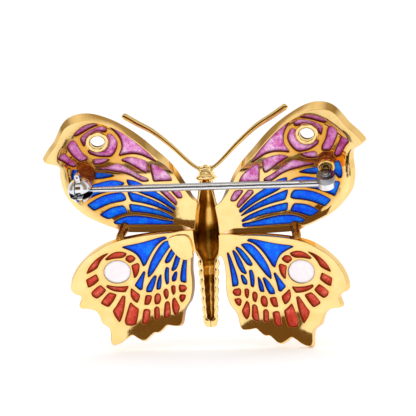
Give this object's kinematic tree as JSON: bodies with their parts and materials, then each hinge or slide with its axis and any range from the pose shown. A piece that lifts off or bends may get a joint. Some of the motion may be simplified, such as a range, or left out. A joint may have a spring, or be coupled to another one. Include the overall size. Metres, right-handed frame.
{
  "type": "butterfly brooch",
  "caption": "Domed butterfly brooch seen from its back: pierced gilt wings filled with coloured enamel, hollow body, and a hinged pin with a rollover safety catch.",
  "frame": {"origin": "middle of the pin stem, where it passes through the garment", "axes": "+X across the wings towards the hinge, +Y through the brooch from its pin side to its face, +Z from the tail to the head"},
  "size_m": [0.0444, 0.0086, 0.0331],
  "materials": {
    "body_gold": "mirror-polished yellow gold",
    "head_gold": "mirror-polished yellow gold",
    "antenna_gold": "mirror-polished yellow gold",
    "frame_gold": "mirror-polished yellow gold",
    "enamel_pink": "translucent fired enamel, pink",
    "enamel_blue": "translucent fired enamel, blue",
    "enamel_red": "translucent fired enamel, red",
    "ring_gold": "mirror-polished yellow gold",
    "white_stone": "smooth pearly white",
    "strut_gold": "mirror-polished yellow gold",
    "plaque_gold": "mirror-polished yellow gold",
    "pad_gold": "mirror-polished yellow gold",
    "collar_gold": "mirror-polished yellow gold",
    "finding_metal": "polished white metal",
    "stem_metal": "polished white metal"
  },
  "bodies": {
    "brooch": {"body_shell": "body_gold", "head": "head_gold", "antenna_left": "antenna_gold", "antenna_right": "antenna_gold", "forewing_frame_left": "frame_gold", "forewing_frame_right": "frame_gold", "hindwing_frame_left": "frame_gold", "hindwing_frame_right": "frame_gold", "enamel_pink_left": "enamel_pink", "enamel_pink_right": "enamel_pink", "enamel_fore_blue_left": "enamel_blue", "enamel_fore_blue_right": "enamel_blue", "enamel_hind_blue_left": "enamel_blue", "enamel_hind_blue_right": "enamel_blue", "enamel_red_left": "enamel_red", "enamel_red_right": "enamel_red", "eye_ring_left": "ring_gold", "eye_ring_right": "ring_gold", "white_eye_left": "white_stone", "white_eye_right": "white_stone", "strut_left": "strut_gold", "strut_right": "strut_gold", "plaque": "plaque_gold", "hinge_pad": "pad_gold", "catch_pad": "pad_gold", "hinge_collar": "collar_gold", "hinge_knuckle": "finding_metal", "hinge_rivet": "finding_metal", "catch_case": "finding_metal"},
    "stem": {"pin_stem": "stem_metal"},
    "rotor": {"catch_rotor": "finding_metal"}
  },
  "joints": [
    {"name": "stem_hinge", "type": "hinge", "parent": "brooch", "child": "stem", "pos_m": [0.0167, 0, -0.00028], "axis": [0, -0.5878, 0.809], "range_deg": [0, 100]},
    {"name": "rotor_turn", "type": "hinge", "parent": "brooch", "child": "rotor", "pos_m": [-0.0167, 0, 0.00035], "axis": [1, 0, 0], "range_deg": [0, 90]}
  ]
}
